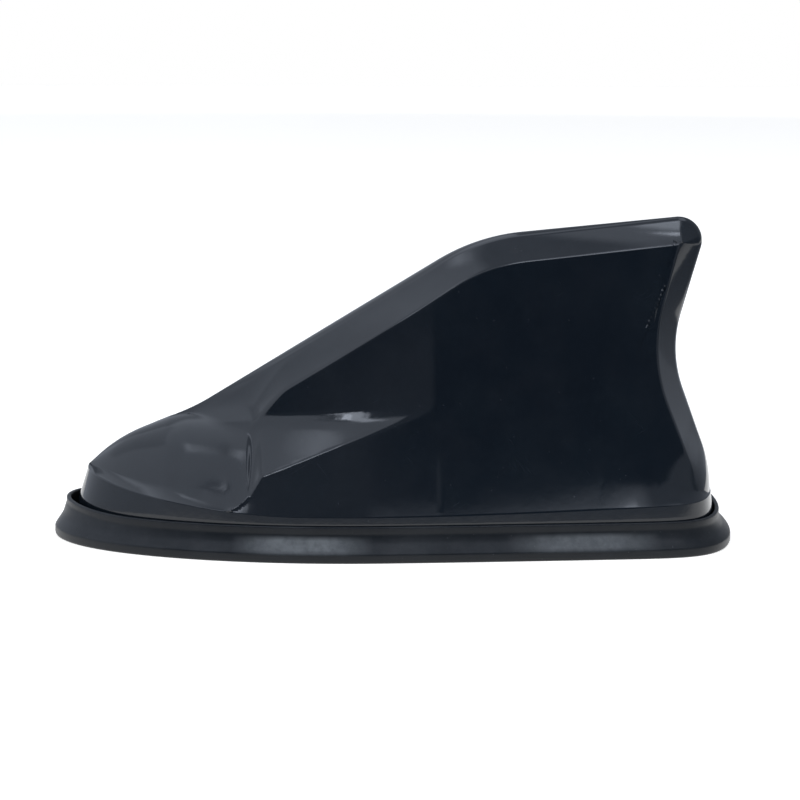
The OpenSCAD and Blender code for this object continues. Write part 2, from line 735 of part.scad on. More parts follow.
module former_screws() {
    color("silver") at_former_screws() translate([0, 0, board_z1 + former_foot_t]) screw(7.5);
}

// Coil of copper wire with a straight tail at each end, swept along its path
module antenna_coil() {
    steps = 14;
    n = steps * coil_turns;
    climb = coil_z1 - coil_z0;
    path = concat(
        [[0, coil_r, board_z1]],
        [for (k = [0:n]) let(a = 90 + 360 * k / steps)
            [coil_r * cos(a), coil_r * sin(a), coil_z0 + climb * k / n]],
        [[0, coil_r, plate_top_z - sheet_t]]
    );
    m = len(path);
    ring = 5;
    points = [for (i = [0:m - 1])
        let(
            t = unit(path[min(i + 1, m - 1)] - path[max(i - 1, 0)]),
            u = unit([path[i].x, path[i].y, 0]),
            v = unit(cross(t, u)),
            w = cross(v, t)
        )
        each [for (k = [0:ring - 1]) path[i] + wire_d / 2 * (cos(360 * k / ring) * w + sin(360 * k / ring) * v)]
    ];
    color("peru") translate([coil_x, 0, 0]) polyhedron(
        points,
        concat(
            [[for (k = [0:ring - 1]) k]],
            [[for (k = [ring - 1:-1:0]) (m - 1) * ring + k]],
            [for (i = [0:m - 2]) for (k = [0:ring - 1])
                let(a = i * ring + k, b = i * ring + (k + 1) % ring, c = b + ring, d = a + ring)
                each [[a, d, c], [a, c, b]]]
        ),
        convexity = 10
    );
}

// Bent metal plate on top of the coil
plate_x0 = bend_corner.x + 6.2;
plate_x1 = coil_x + 10;
plate_wing = 9;
module top_plate() {
    half = coil_r + wire_d / 2 + sheet_t + 0.15;
    spread = 0.8 * (side_face(plate_x1, plate_top_z - plate_wing) - side_face(plate_x1, plate_top_z));
    color("silver") difference() {
        translate([plate_x0, 0, plate_top_z]) rotate([90, 0, 90]) linear_extrude(plate_x1 - plate_x0) polygon([
            [-half, 0], [half, 0], [half + spread, -plate_wing], [half + spread - sheet_t, -plate_wing],
            [half - sheet_t, -sheet_t], [-half + sheet_t, -sheet_t],
            [-half - spread + sheet_t, -plate_wing], [-half - spread, -plate_wing]
        ]);
        translate([coil_x, 0, plate_top_z - 5]) cylinder(r = screw_r + fit / 2, h = fin_h);
    }
}
module plate_screw() {
    color("silver") translate([coil_x, 0, plate_top_z]) screw(5.5);
}

// Foam block that keeps the plate from rattling against the cover
module damping_pad() {
    x0 = coil_x + 4;
    x1 = plate_x1;
    half = 1.5;
    top_line = [for (i = [steps_to(3):steps_to(3) + line_steps[3]]) edge_line[i]];
    function ceiling(x) = lookup(x, top_line) - ridge_in - 1.4;
    color([0.3, 0.3, 0.3]) translate([0, half, 0]) rotate([90, 0, 0]) linear_extrude(2 * half) polygon([
        [x0, plate_top_z], [x1, plate_top_z], [x1, ceiling(x1)], [x0, ceiling(x0)]
    ]);
}

fin_cover();
rubber_skirt();
base_plate();
adhesive_pad();
cable_grommet();
cover_screws();
main_board();
board_screws();
shield_can();
amplifier_chip();
chip_capacitors();
chip_resistors();
filter_coils();
lead_socket();
socket_insulator();
socket_pin();
supply_header();
header_pins();
coil_former();
former_screws();
antenna_coil();
top_plate();
plate_screw();
damping_pad();
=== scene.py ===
"""Shark fin roof aerial, dressed: the glossy cover and the rubber skirt as fine
meshes, a finish for every piece inside, and the pale table they stand on.
Lengths are millimetres until a mesh is made; MM turns them into metres."""
import math

import bpy
import numpy as np
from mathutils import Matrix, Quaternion, Vector


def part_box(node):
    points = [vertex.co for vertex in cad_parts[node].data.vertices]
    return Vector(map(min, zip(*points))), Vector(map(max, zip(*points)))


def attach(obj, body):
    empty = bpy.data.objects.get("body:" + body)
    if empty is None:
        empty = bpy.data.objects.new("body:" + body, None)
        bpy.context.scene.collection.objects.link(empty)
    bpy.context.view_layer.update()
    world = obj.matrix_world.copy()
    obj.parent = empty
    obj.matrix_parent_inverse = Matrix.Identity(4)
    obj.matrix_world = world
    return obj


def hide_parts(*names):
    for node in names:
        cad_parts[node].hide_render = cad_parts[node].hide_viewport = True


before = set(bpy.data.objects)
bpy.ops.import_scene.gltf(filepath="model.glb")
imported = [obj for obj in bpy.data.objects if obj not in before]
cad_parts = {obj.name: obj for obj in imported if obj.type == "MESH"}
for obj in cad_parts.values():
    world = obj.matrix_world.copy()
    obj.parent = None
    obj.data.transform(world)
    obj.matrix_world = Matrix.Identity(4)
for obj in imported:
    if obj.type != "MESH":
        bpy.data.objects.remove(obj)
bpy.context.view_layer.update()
MM = 0.001

# Camera, at the height and side from which the photograph was taken
CAMERA_DISTANCE = 611.2
CAMERA_ELEVATION = 9.55
CAMERA_SWING = 2.6
CAMERA_ROLL = 0.25
CAMERA_AIM = (2.05, 4.67, 32.5)
CAMERA_LENS = 108.4
CAMERA_CLIP = (0.01, 20)


def place_camera():
    """The camera looks at the aim point from the left of the long side."""
    rise, swing = math.radians(CAMERA_ELEVATION), math.radians(CAMERA_SWING)
    level = math.cos(rise)
    back = Vector((-math.sin(swing) * level, -math.cos(swing) * level, math.sin(rise)))
    data = bpy.data.cameras.new("camera")
    data.lens = CAMERA_LENS
    data.clip_start, data.clip_end = CAMERA_CLIP
    camera = bpy.data.objects.new("camera", data)
    camera.location = (Vector(CAMERA_AIM) + back * CAMERA_DISTANCE) * MM
    roll = Quaternion((0, 0, 1), math.radians(CAMERA_ROLL))
    camera.rotation_euler = ((-back).to_track_quat("-Z", "Y") @ roll).to_euler()
    bpy.context.scene.collection.objects.link(camera)
    bpy.context.scene.camera = camera


place_camera()

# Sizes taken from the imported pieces
skirt_low, skirt_high = (np.array(corner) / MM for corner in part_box("rubber_skirt"))
cover_low, cover_high = (np.array(corner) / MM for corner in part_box("fin_cover"))
WEB_T = 0.9
plate_top = cover_low[2] - WEB_T
NOSE_RISE = 1.3
SKIRT_H = skirt_high[2] - NOSE_RISE
FIN_H = cover_high[2]
HALF_WID = cover_high[1]

# Skirt
LIP_T = 1.1
SKIRT_FLARE = 3
FOOT_EDGE_H = 2.3
LIP_BAND_H = 2.3
NOSE_GAP, SIDE_GAP, TAIL_GAP = 1.7, 0.35, 0.5
NOSE_X = skirt_low[0] + SKIRT_FLARE + LIP_T + NOSE_GAP
TAIL_X = skirt_high[0] - SKIRT_FLARE - LIP_T - TAIL_GAP

# Cover
WALL_T = 2.2
NOSE_BAND, SIDE_BAND, TAIL_BAND = 9, 2, 4.3
BEVEL_W = 6.5
TIP_R = 6
WAIST_R = 30
BEND_R = 50
HEEL_R = 30
TOP_WID = 15.4
SCOOP_X0, SCOOP_X1 = -36, 6
SCOOP_END = SCOOP_X1 + 4
WIDEST_X = -8
TAIL_ROUND = 14
CORNER_X = TAIL_X - TAIL_ROUND
TAIL_NARROWING, NARROWING_POW = 4.4, 1.3
NOSE_POW, TAIL_POW = 2.05, 20


# Small sums, which take one number or a whole array
def clamp(v, low=0.0, high=1.0):
    return np.clip(v, low, high)


def lerp(a, b, t):
    return a + (b - a) * t


def ease(t):
    u = clamp(t)
    return u * u * (3 - 2 * u)


def power(base, exponent):
    return np.power(np.maximum(base, 0), exponent)


def blend_max(a, b, width):
    h = clamp(0.5 + (a - b) / (2 * width))
    return lerp(b, a, h) + width * h * (1 - h)


def blend_min(a, b, width):
    return -blend_max(-a, -b, width)


def unit(v):
    return v / np.linalg.norm(v)


# Plan of the cover's foot, from g = 0 at the nose to g = 3 at the tail
def side_w(x):
    tail_share = (x - WIDEST_X) / (TAIL_X - WIDEST_X)
    return HALF_WID - TAIL_NARROWING * power(tail_share, NARROWING_POW)


def nose_close(x, x0):
    return np.sqrt(1 - power(clamp((WIDEST_X - x) / (WIDEST_X - x0)), NOSE_POW))


def tail_close(d):
    return np.sqrt(1 - power(clamp(1 - d / (TAIL_X - WIDEST_X)), TAIL_POW))


TAIL_TURN = math.asin(tail_close(TAIL_X - CORNER_X))


def foot(g):
    if g < 1:
        turn = math.radians(90 * g)
        x = WIDEST_X - (WIDEST_X - NOSE_X) * math.cos(turn) ** (2 / NOSE_POW)
        return np.array((x, HALF_WID * math.sin(turn)))
    if g < 2:
        x = lerp(WIDEST_X, CORNER_X, g - 1)
        return np.array((x, float(side_w(x) * tail_close(TAIL_X - x))))
    turn = TAIL_TURN * (3 - g)
    x = lerp(WIDEST_X, TAIL_X, max(0, math.cos(turn)) ** (2 / TAIL_POW))
    return np.array((x, float(side_w(x)) * math.sin(turn)))


def foot_normal(g):
    if g <= 0:
        return np.array((-1.0, 0.0))
    if g >= 3:
        return np.array((1.0, 0.0))
    step = 0.001
    t = unit(foot(min(3, g + step)) - foot(max(0, g - step)))
    return np.array((-t[1], t[0]))


def lip_gap(g):
    nose_part = (NOSE_GAP - SIDE_GAP) * (1 - ease(g / 0.7))
    return SIDE_GAP + nose_part + (TAIL_GAP - SIDE_GAP) * ease((g - 2.1) / 0.8)


# Upright band at the foot of the cover, with its height and its lean
BAND_RISE_X = -23
NOSE_BAND_POW, TAIL_BAND_POW = 1.8, 1.5
NOSE_LEAN, SIDE_LEAN, TAIL_LEAN = 0.31, 0.1, 0.16


def band_h(x):
    nose_share = (BAND_RISE_X - x) / (BAND_RISE_X - NOSE_X)
    nose_part = (NOSE_BAND - SIDE_BAND) * power(nose_share, NOSE_BAND_POW)
    tail_part = (TAIL_BAND - SIDE_BAND) * power(x / TAIL_X, TAIL_BAND_POW)
    return SIDE_BAND + nose_part + tail_part


def band_lean(g):
    return lerp(lerp(NOSE_LEAN, SIDE_LEAN, ease(g / 0.6)), TAIL_LEAN, ease(g - 2))


def band_top(g):
    """Place of the band's top edge, as x, y, z."""
    f = foot(g)
    h = float(band_h(f[0]))
    p = f - band_lean(g) * h * foot_normal(g)
    return np.array((p[0], p[1], SKIRT_H + h))


# Corners of the fin's edge line in side view: share of the way from the middle to the nose or
# the tail, then height. The bend's height is measured down from the top.
BROW_AT, BROW_Z, BROW_R = 0.874, 24.0, 36
RAMP_AT, RAMP_Z = 0.624, 32.0
BEND_AT, BEND_DROP = 0.259, 4.9
TIP_AT = 0.887
WAIST_AT, WAIST_Z = 0.866, 46.0
HEEL_Z = 19.0


def edge_corners():
    """Corners of the edge line from the nose to the tail, with the radius of each."""
    start, end = band_top(0)[[0, 2]], band_top(3)[[0, 2]]
    brow = np.array((BROW_AT * NOSE_X, BROW_Z))
    ramp = np.array((RAMP_AT * NOSE_X, RAMP_Z))
    bend = np.array((BEND_AT * TAIL_X, FIN_H - BEND_DROP))
    waist = np.array((WAIST_AT * TAIL_X, WAIST_Z))
    heel = np.array((end[0], HEEL_Z))
    tip_center = np.array((TIP_AT * TAIL_X, FIN_H - TIP_R))

    def turn_to(p, side):
        v = tip_center - p
        return math.atan2(v[1], v[0]) + side * math.asin(TIP_R / np.linalg.norm(v))

    def cross(a, b):
        return a[0] * b[1] - a[1] * b[0]

    def heading(a):
        return np.array((math.cos(a), math.sin(a)))

    to_bend, to_waist = heading(turn_to(bend, 1)), heading(turn_to(waist, -1))
    tip = bend + to_bend * cross(waist - bend, to_waist) / cross(to_bend, to_waist)
    return [
        (start, 0), (brow, BROW_R), (ramp, BEND_R), (bend, BEND_R),
        (tip, TIP_R), (waist, WAIST_R), (heel, HEEL_R), (end, 0),
    ]


CORNERS = edge_corners()
RAMP_CORNER = CORNERS[2][0]

# Steps along each straight and each arc of the edge line, and finer steps in each of them
LINE_STEPS = (2, 3, 12, 4, 3, 4, 3)
ARC_STEPS = (3, 4, 5, 6, 5, 3)
RAMP_EASE = 1.35
FINE = 8


def rounded(i):
    """Start, end and centre of the arc at one corner."""
    p, r = CORNERS[i]
    a, b = unit(CORNERS[i - 1][0] - p), unit(CORNERS[i + 1][0] - p)
    half = math.acos(float(a @ b)) / 2
    reach = r / math.tan(half)
    return p + a * reach, p + b * reach, p + unit(a + b) * r / math.sin(half)


def arc_points(start, end, center, n):
    a, b = start - center, end - center
    a0 = math.atan2(a[1], a[0])
    turn = (math.atan2(b[1], b[0]) - a0 + 3 * math.pi) % (2 * math.pi) - math.pi
    r = np.linalg.norm(a)
    angles = a0 + turn * np.arange(n) / n
    return center + r * np.stack((np.cos(angles), np.sin(angles)), axis=1)


def make_edge_line():
    rows, start = [], CORNERS[0][0]
    for i, n in enumerate(LINE_STEPS):
        last = i == len(LINE_STEPS) - 1
        arc = None if last else rounded(i + 1)
        end = CORNERS[-1][0] if last else arc[0]
        t = np.arange(n * FINE) / (n * FINE)
        t = t ** RAMP_EASE if i == 2 else t
        rows.append(start + (end - start) * t[:, None])
        if not last:
            rows.append(arc_points(*arc, ARC_STEPS[i] * FINE))
            start = arc[1]
    rows.append(CORNERS[-1][0][None, :])
    return np.concatenate(rows)


EDGE_LINE = make_edge_line()
LAST = len(EDGE_LINE) - 1


def steps_to(i):
    return sum(LINE_STEPS[:i]) + sum(ARC_STEPS[:i])


# Place on the foot outline that each end of a straight or an arc looks down to
RAMP_MARKS = (0.7, 1.13)
FOOT_MARKS = (
    (0, 0), (LINE_STEPS[0], 0.2), (steps_to(1), 0.38),
    (steps_to(1) + LINE_STEPS[1], 0.56), (steps_to(2), RAMP_MARKS[0]),
    (steps_to(2) + LINE_STEPS[2], RAMP_MARKS[1]), (steps_to(3), 1.44),
    (steps_to(3) + LINE_STEPS[3], 1.68), (steps_to(4), 1.75),
    (steps_to(4) + LINE_STEPS[4], 1.84), (steps_to(5), 1.95),
    (steps_to(5) + 4, 2.1), (LAST / FINE, 3),
)


def foot_mark(i):
    u, first, n = i / FINE, steps_to(2), LINE_STEPS[2]
    if first < u < first + n:
        return lerp(*RAMP_MARKS, ((u - first) / n) ** RAMP_EASE)
    return float(np.interp(u, [m[0] for m in FOOT_MARKS], [m[1] for m in FOOT_MARKS]))


def edge_inward(i):
    t = unit(EDGE_LINE[min(i + 1, LAST)] - EDGE_LINE[max(i - 1, 0)])
    return np.array((t[1], -t[0]))


def edge_distance(x, z):
    """Distance of each point of the side view from the edge line."""
    points = np.stack((np.ravel(x), np.ravel(z)), axis=1)
    a = EDGE_LINE[:-1]
    v = EDGE_LINE[1:] - a
    length2 = (v * v).sum(axis=1)
    nearest = np.empty(len(points))
    batch = 2000
    for first in range(0, len(points), batch):
        w = points[first:first + batch, None, :] - a
        t = clamp((w * v).sum(axis=2) / length2)
        miss = w - t[:, :, None] * v
        nearest[first:first + batch] = np.sqrt((miss ** 2).sum(axis=2)).min(axis=1)
    return nearest.reshape(np.shape(x))


# Half-width of the sides and of the fin
SIDE_SET_IN = 0.5
SIDE_BOW = 0.357
FIN_DRAFT, FIN_DRAFT_EASE = 0.25, 8


def side_face(x, z):
    u = np.maximum(0, z - SKIRT_H - SIDE_BAND) / (FIN_H - SKIRT_H - SIDE_BAND)
    bowed = (1 + SIDE_BOW) * u - SIDE_BOW * u * u
    draw_in = (HALF_WID - SIDE_SET_IN - TOP_WID / 2) * bowed
    return side_w(x) * nose_close(x, CORNERS[0][0][0]) - SIDE_SET_IN - draw_in


def fin_face(x, z):
    u = np.maximum(0, SCOOP_END - x)
    thinned = u - FIN_DRAFT_EASE + FIN_DRAFT_EASE * np.exp(-u / FIN_DRAFT_EASE)
    return side_face(x, z) - FIN_DRAFT * thinned


# Crease that runs from the nose round the dome and up to the root of the fin, and that root
CREASE_Z, CREASE_SLOPE, CREASE_BLEND = 17.9, 0.372, 0.8
CREASE_DIP, CREASE_DIP_X = 0.116, SCOOP_X0 - 5.5
ROOT_Z, ROOT_SLOPE = 30, 0.11
ABOVE_ROOT_SLOPE = 1.5
SCOOP_POW = 1.1
LEAST_SPAN = 0.3


def shoulder_z(x):
    """Height of the crease."""
    low = SKIRT_H + band_h(x) + CREASE_DIP * np.maximum(0, x - CREASE_DIP_X) ** 2
    return blend_min(CREASE_Z + CREASE_SLOPE * (x - SCOOP_X0), low, CREASE_BLEND)


def scoop_face(x, z):
    """The hollow between the crease of the side and the root of the fin."""
    z0 = shoulder_z(x)
    z1 = ROOT_Z + ROOT_SLOPE * (x - SCOOP_X0)
    u = (z - z0) / np.maximum(LEAST_SPAN, z1 - z0)
    root = fin_face(x, z1)
    curve = root + (side_face(x, z0) - root) * power(1 - u, SCOOP_POW)
    upper = np.where(u >= 1, root - ABOVE_ROOT_SLOPE * (z - z1), curve)
    closed = np.minimum(side_face(x, z), fin_face(x, z))
    hollow = np.where(z1 - z0 < LEAST_SPAN, closed, upper)
    return np.where(z <= z0, side_face(x, z), hollow)


# Dome of the nose, which sinks into the ramp behind it
DOME_BACK, DOME_DROP, DOME_SLOPE, DOME_BLEND = 4, 1.7, 0.05, 1.2
DOME_FADE, DOME_FADE_X, DOME_FADE_LEN = 0.95, SCOOP_X0 - 0.5, 6.5
DOME_POW = 1.05
DOME_END = SCOOP_X0 + 16


def dome_top(x):
    nose_part = EDGE_LINE[: steps_to(2) * FINE + 1]
    start = RAMP_CORNER[0] - DOME_BACK
    rest = RAMP_CORNER[1] - DOME_DROP + DOME_SLOPE * (x - start)
    return blend_min(np.interp(x, nose_part[:, 0], nose_part[:, 1]), rest, DOME_BLEND)


def dome_face(x, z):
    z0 = shoulder_z(x)
    u = clamp((z - z0) / np.maximum(0.01, dome_top(x) - z0))
    fade = 1 - DOME_FADE * ease((x - DOME_FADE_X) / DOME_FADE_LEN)
    face = side_face(x, z0) * fade * np.sqrt(1 - power(u, DOME_POW))
    return np.where((x > DOME_END) | (z < z0), 0, np.maximum(0, face))


# How the width closes over the bevel and the rounded edge line, d inside that line
NOSE_BEVEL_MORE, NOSE_BEVEL_X, NOSE_BEVEL_LEN = 8, SCOOP_X0 - 10, 20
BEVEL_STEP = 0.27
BEVEL_FROM_Z, BEVEL_RISE = 14, 14
HOLLOW_BEVEL_X, HOLLOW_BEVEL_LEN = SCOOP_X0 + 6, 14
JOIN_W, JOIN_LEN = 1.4, 22


def bevel_w(x):
    return BEVEL_W + NOSE_BEVEL_MORE * (1 - ease((x - NOSE_BEVEL_X) / NOSE_BEVEL_LEN))


def bevel_profile(d, x):
    u = blend_min(clamp(d / bevel_w(x), 0, 2), 1.0, 0.05)
    return blend_min(np.sqrt(clamp(u)), BEVEL_STEP + (1 - BEVEL_STEP) * u, 0.012)


def bevel_close(x, z, d):
    return lerp(tail_close(d), bevel_profile(d, x), ease((z - BEVEL_FROM_Z) / BEVEL_RISE))


def outside(x, z, d):
    """Half-width of the outside at x and z, d inside the edge line."""
    k = np.maximum(0.01, JOIN_W * ease((SCOOP_END - x) / JOIN_LEN))
    behind = side_face(x, z) * bevel_close(x, z, d)
    close = bevel_profile(d, x)
    hollow_close = lerp(1, close, ease((x - HOLLOW_BEVEL_X) / HOLLOW_BEVEL_LEN))
    front = blend_max(dome_face(x, z), scoop_face(x, z) * hollow_close, k)
    ahead = blend_max(fin_face(x, z) * close, front, k)
    return np.where(x > SCOOP_END, behind, ahead)


RIDGE_IN = 3


def lining(x, z, d):
    """Half-width of the hollow inside."""
    u = clamp((d - RIDGE_IN) / RIDGE_IN)
    return np.maximum(0, outside(x, z, d) - WALL_T) * np.sqrt(1 - power(1 - u, 2))


# Distances inside the edge line at which a skin has its last rows, closest at its edges
OUTER_INSETS = np.concatenate((
    np.linspace(8, 7.1, 4), (6.9, 6.7, 6.5, 6.3, 6.1, 5.9), np.linspace(5.4, 1.6, 9),
    (1.3, 1.15, 1.0, 0.9), 0.8 * np.linspace(1, 0, 10) ** 2,
))
INNER_INSETS = np.concatenate((np.linspace(5.5, 1.2, 5), 0.9 * np.linspace(1, 0, 5) ** 2))
OUTER_ROWS, INNER_ROWS = 56, 10
FIRST_STEPS = (0, 0.006, 0.014)
BAND_STEPS = (0.25, 0.5, 0.75, 0.9, 0.96)
SPARE_ROOM = 1.3
EASED_SHARE = 0.3
LEAST_HALF = 0.02


def rib(i, rows, insets, inset0, face, out):
    """One rib of a skin, from the top of the band up to the edge line."""
    g = foot_mark(i)
    b, nrm = band_top(g), foot_normal(g)
    s = np.array((b[0] + out * nrm[0], b[2]))
    reach = inset0 + insets[0]
    room = float(edge_distance(s[0], s[1]))
    squeeze = min(1.0, room / reach / SPARE_ROOM)
    inward = edge_inward(i)
    t = np.concatenate((FIRST_STEPS, np.linspace(0, 1, rows, endpoint=False)[1:]))
    climb = s + (EDGE_LINE[i] + inward * reach * squeeze - s) * t[:, None]
    crest = EDGE_LINE[i] + inward * ((inset0 + insets) * squeeze)[:, None]
    path = np.concatenate((climb, crest))
    if i in (0, LAST):
        return np.array([(s[0], 0, s[1])] * len(path))
    y0 = b[1] + out * nrm[1]
    y = face(path[:, 0], path[:, 1], edge_distance(path[:, 0], path[:, 1]))
    miss = y0 - y[0]
    share = np.concatenate((t, np.ones(len(insets))))
    y = np.maximum(LEAST_HALF, y + miss * (1 - clamp(share / EASED_SHARE)) ** 2)
    y[-1] = 0
    return np.stack((path[:, 0], y, path[:, 1]), axis=1)


def full_rib(i, inner):
    """The rib with the upright foot below it, down to the cover's lower edge."""
    g = foot_mark(i)
    out = -WALL_T if inner else 0
    p = foot(g) + out * foot_normal(g)
    y = 0 if i in (0, LAST) else p[1]
    if inner:
        upper = rib(i, INNER_ROWS, INNER_INSETS, RIDGE_IN, lining, out)
        low = [(p[0], y, z) for z in (cover_low[2], SKIRT_H - 0.3)]
    else:
        upper = rib(i, OUTER_ROWS, OUTER_INSETS, 0, outside, out)
        low = [(p[0], y, z) for z in (cover_low[2], SKIRT_H - 1, SKIRT_H)]
        low += [lerp(np.array(low[2]), upper[0], t) for t in BAND_STEPS]
    return np.concatenate((np.array(low), upper))


def new_piece(name, points, faces, stands_for=()):
    """A smooth mesh object in metres that rides with the aerial."""
    mesh = bpy.data.meshes.new(name)
    mesh.from_pydata([tuple(p) for p in np.asarray(points) * MM], [], faces)
    mesh.validate()
    mesh.shade_smooth()
    piece = bpy.data.objects.new(name, mesh)
    bpy.context.scene.collection.objects.link(piece)
    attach(piece, "root")
    if stands_for:
        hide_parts(*stands_for)
    return piece


def weld(points, faces):
    """Merges points that share a place and drops faces that fall together."""
    points = np.asarray(points)
    _, first, back = np.unique(points.round(5), axis=0, return_index=True, return_inverse=True)
    back = back.ravel()
    kept = []
    for face in faces:
        ring = [int(back[i]) for i in face]
        ring = [v for k, v in enumerate(ring) if v != ring[k - 1]]
        if len(set(ring)) == len(ring) >= 3:
            kept.append(ring)
    return points[first], kept


def skin(ribs, inner):
    """Both sides of a skin as points and faces that look outward, or inward for the lining."""
    n, sides = len(ribs[0]), len(ribs)
    left = np.concatenate(ribs)
    points = np.concatenate((left, left * (1, -1, 1)))
    faces = []
    for side in (0, 1):
        start = side * len(left)
        for i in range(sides - 1):
            for j in range(n - 1):
                a = start + i * n + j
                quad = (a, a + n, a + n + 1, a + 1)
                faces.append(quad if inner == (side == 1) else quad[::-1])
    return points, faces


def make_cover():
    outer = [full_rib(i, False) for i in range(LAST + 1)]
    inner = [full_rib(i, True) for i in range(0, LAST + 1, 2)]
    out_points, out_faces = skin(outer, False)
    in_points, in_faces = skin(inner, True)
    shift = len(out_points)
    faces = out_faces + [tuple(v + shift for v in f) for f in in_faces]
    n_out, n_in = len(outer[0]), len(inner[0])
    for side in (0, 1):
        a0 = side * len(out_points) // 2
        b0 = shift + side * len(in_points) // 2
        for k in range(len(inner) - 1):
            a, b = a0 + 2 * k * n_out, b0 + k * n_in
            ring = (a, a + n_out, a + 2 * n_out, b + n_in, b)
            faces.append(ring if side == 0 else ring[::-1])
    points, faces = weld(np.concatenate((out_points, in_points)), faces)
    return new_piece("cover_shell", points, faces, ("fin_cover",))


cover = make_cover()


# Section of the skirt: its inner edge, the bead under its foot and the neck below its lip
PLATE_SIDE = 0.15
BEAD_FROM, BEAD_TO, BEAD_H = 1.3, 2.1, 0.7
NECK = 0.45
NOSE_LIP_CUT, NOSE_LIP_REACH = 1.9, 0.45
LIP_EDGE_R = 0.42


def skirt_section(g):
    """Corners as distance out from the cover's foot, height and radius."""
    inside = lip_gap(g)
    lip = inside + LIP_T
    toe = lip + SKIRT_FLARE
    nose_share = 1 - ease(g / NOSE_LIP_REACH)
    rim = SKIRT_H + NOSE_RISE * nose_share
    band_low = SKIRT_H - LIP_BAND_H + NOSE_LIP_CUT * nose_share
    corners = [
        (-WALL_T, plate_top, 0), (PLATE_SIDE, plate_top, 0), (PLATE_SIDE, 0, 0),
        (BEAD_FROM, 0, 0), (BEAD_FROM + BEAD_H / 2, BEAD_H, 0.1),
        (BEAD_TO, BEAD_H, 0.1), (BEAD_TO + BEAD_H / 2, 0, 0),
        (toe, 0, 0.8), (toe, FOOT_EDGE_H, 0.35),
        (lip + 0.9, FOOT_EDGE_H + 2.1 + nose_share, 1.6),
        (lip + NECK / 2, band_low - NECK / 2, 0.5), (lip, band_low + NECK, 0.4),
        (lip, rim, LIP_EDGE_R), (inside, rim, LIP_EDGE_R),
        (inside, cover_low[2], 0), (-WALL_T, cover_low[2], 0),
    ]
    return rounded_section(corners)


def rounded_section(corners):
    """Closed section whose corners are rounded by the third number of each."""
    points = []
    for k, (x, z, r) in enumerate(corners):
        p = np.array((x, z))
        if r == 0:
            points.append(p)
            continue
        before = np.array(corners[k - 1][:2]) - p
        after = np.array(corners[(k + 1) % len(corners)][:2]) - p
        reach = min(r, 0.49 * np.linalg.norm(before), 0.49 * np.linalg.norm(after))
        a, b = p + unit(before) * reach, p + unit(after) * reach
        for t in np.linspace(0, 1, 5):
            points.append(lerp(lerp(a, p, t), lerp(p, b, t), t))
    return points


SKIRT_ROUND = np.concatenate((np.arange(90) / 90, 1 + np.arange(60) / 60, 2 + np.arange(71) / 70))
SKIRT_CREASE_ANGLE = 50


def make_skirt():
    half = []
    for g in SKIRT_ROUND:
        f, nrm = foot(g), foot_normal(g)
        half.append(np.array([(*(f + p[0] * nrm), p[1]) for p in skirt_section(g)]))
    rings = half + [ring * (1, -1, 1) for ring in half[-2:0:-1]]
    n, m = len(rings[0]), len(rings)
    faces = []
    for i in range(m):
        for j in range(n):
            a, b = i * n, ((i + 1) % m) * n
            faces.append((a + j, b + j, b + (j + 1) % n, a + (j + 1) % n))
    points, faces = weld(np.concatenate(rings), faces)
    skirt = new_piece("skirt_moulding", points, faces, ("rubber_skirt",))
    skirt.data.set_sharp_from_angle(angle=math.radians(SKIRT_CREASE_ANGLE))
    return skirt


skirt = make_skirt()


# Shader groups that more than one finish uses
SOCKET_KINDS = {
    "value": "NodeSocketFloat", "color": "NodeSocketColor", "vector": "NodeSocketVector",
}


class Group:
    """A shader node group under construction, with named sockets."""

    def __init__(self, name, inputs, outputs):
        self.tree = bpy.data.node_groups.new(name, "ShaderNodeTree")
        for label, kind, default in inputs:
            self.socket(label, kind, "INPUT").default_value = default
        for label, kind in outputs:
            self.socket(label, kind, "OUTPUT")
        self.given = self.tree.nodes.new("NodeGroupInput")
        self.result = self.tree.nodes.new("NodeGroupOutput")

    def socket(self, label, kind, side):
        return self.tree.interface.new_socket(name=label, in_out=side,
                                              socket_type=SOCKET_KINDS[kind])

    def node(self, kind, settings=None, **links):
        return add_node(self.tree, kind, settings, **links)

    def value(self, label):
        return self.given.outputs[label]

    def give(self, label, socket):
        self.tree.links.new(socket, self.result.inputs[label])


def add_node(tree, kind, settings=None, **inputs):
    """A node with its settings, and each input linked or set by its name with _ for a space."""
    made = tree.nodes.new("ShaderNode" + kind)
    for key, value in (settings or {}).items():
        setattr(made, key, value)
    for key, value in inputs.items():
        wanted = key.replace("_", " ")
        by_number = wanted.startswith("in ")
        socket = made.inputs[int(wanted[3:])] if by_number else made.inputs[wanted]
        if isinstance(value, bpy.types.NodeSocket):
            tree.links.new(value, socket)
        else:
            socket.default_value = value
    return made


def maths(tree, operation, a, b=0.0, clamp_it=False):
    made = add_node(tree, "Math", {"operation": operation, "use_clamp": clamp_it}, in_0=a, in_1=b)
    return made.outputs[0]


def remap(tree, value, low, high, to_low=0.0, to_high=1.0):
    made = add_node(tree, "MapRange", None, Value=value, From_Min=low, From_Max=high,
                    To_Min=to_low, To_Max=to_high)
    return made.outputs["Result"]


MID_GREY = (0.5, 0.5, 0.5, 1)


def make_tone_drift():
    """Slow change of tone over a moulding, as a colour."""
    g = Group("tone drift",
              [("Base", "color", MID_GREY), ("Other", "color", MID_GREY), ("Size", "value", 40.0),
               ("Low", "value", 0.4), ("High", "value", 0.7)],
              [("Color", "color")])
    place = g.node("TexCoord").outputs["Object"]
    noise = g.node("TexNoise", None, Vector=place, Scale=g.value("Size"), Detail=4.0,
                   Roughness=0.55)
    mask = remap(g.tree, noise.outputs["Fac"], g.value("Low"), g.value("High"))
    mix = g.node("Mix", {"data_type": "RGBA"}, in_0=mask, in_6=g.value("Base"),
                 in_7=g.value("Other"))
    g.give("Color", mix.outputs[2])
    return g.tree


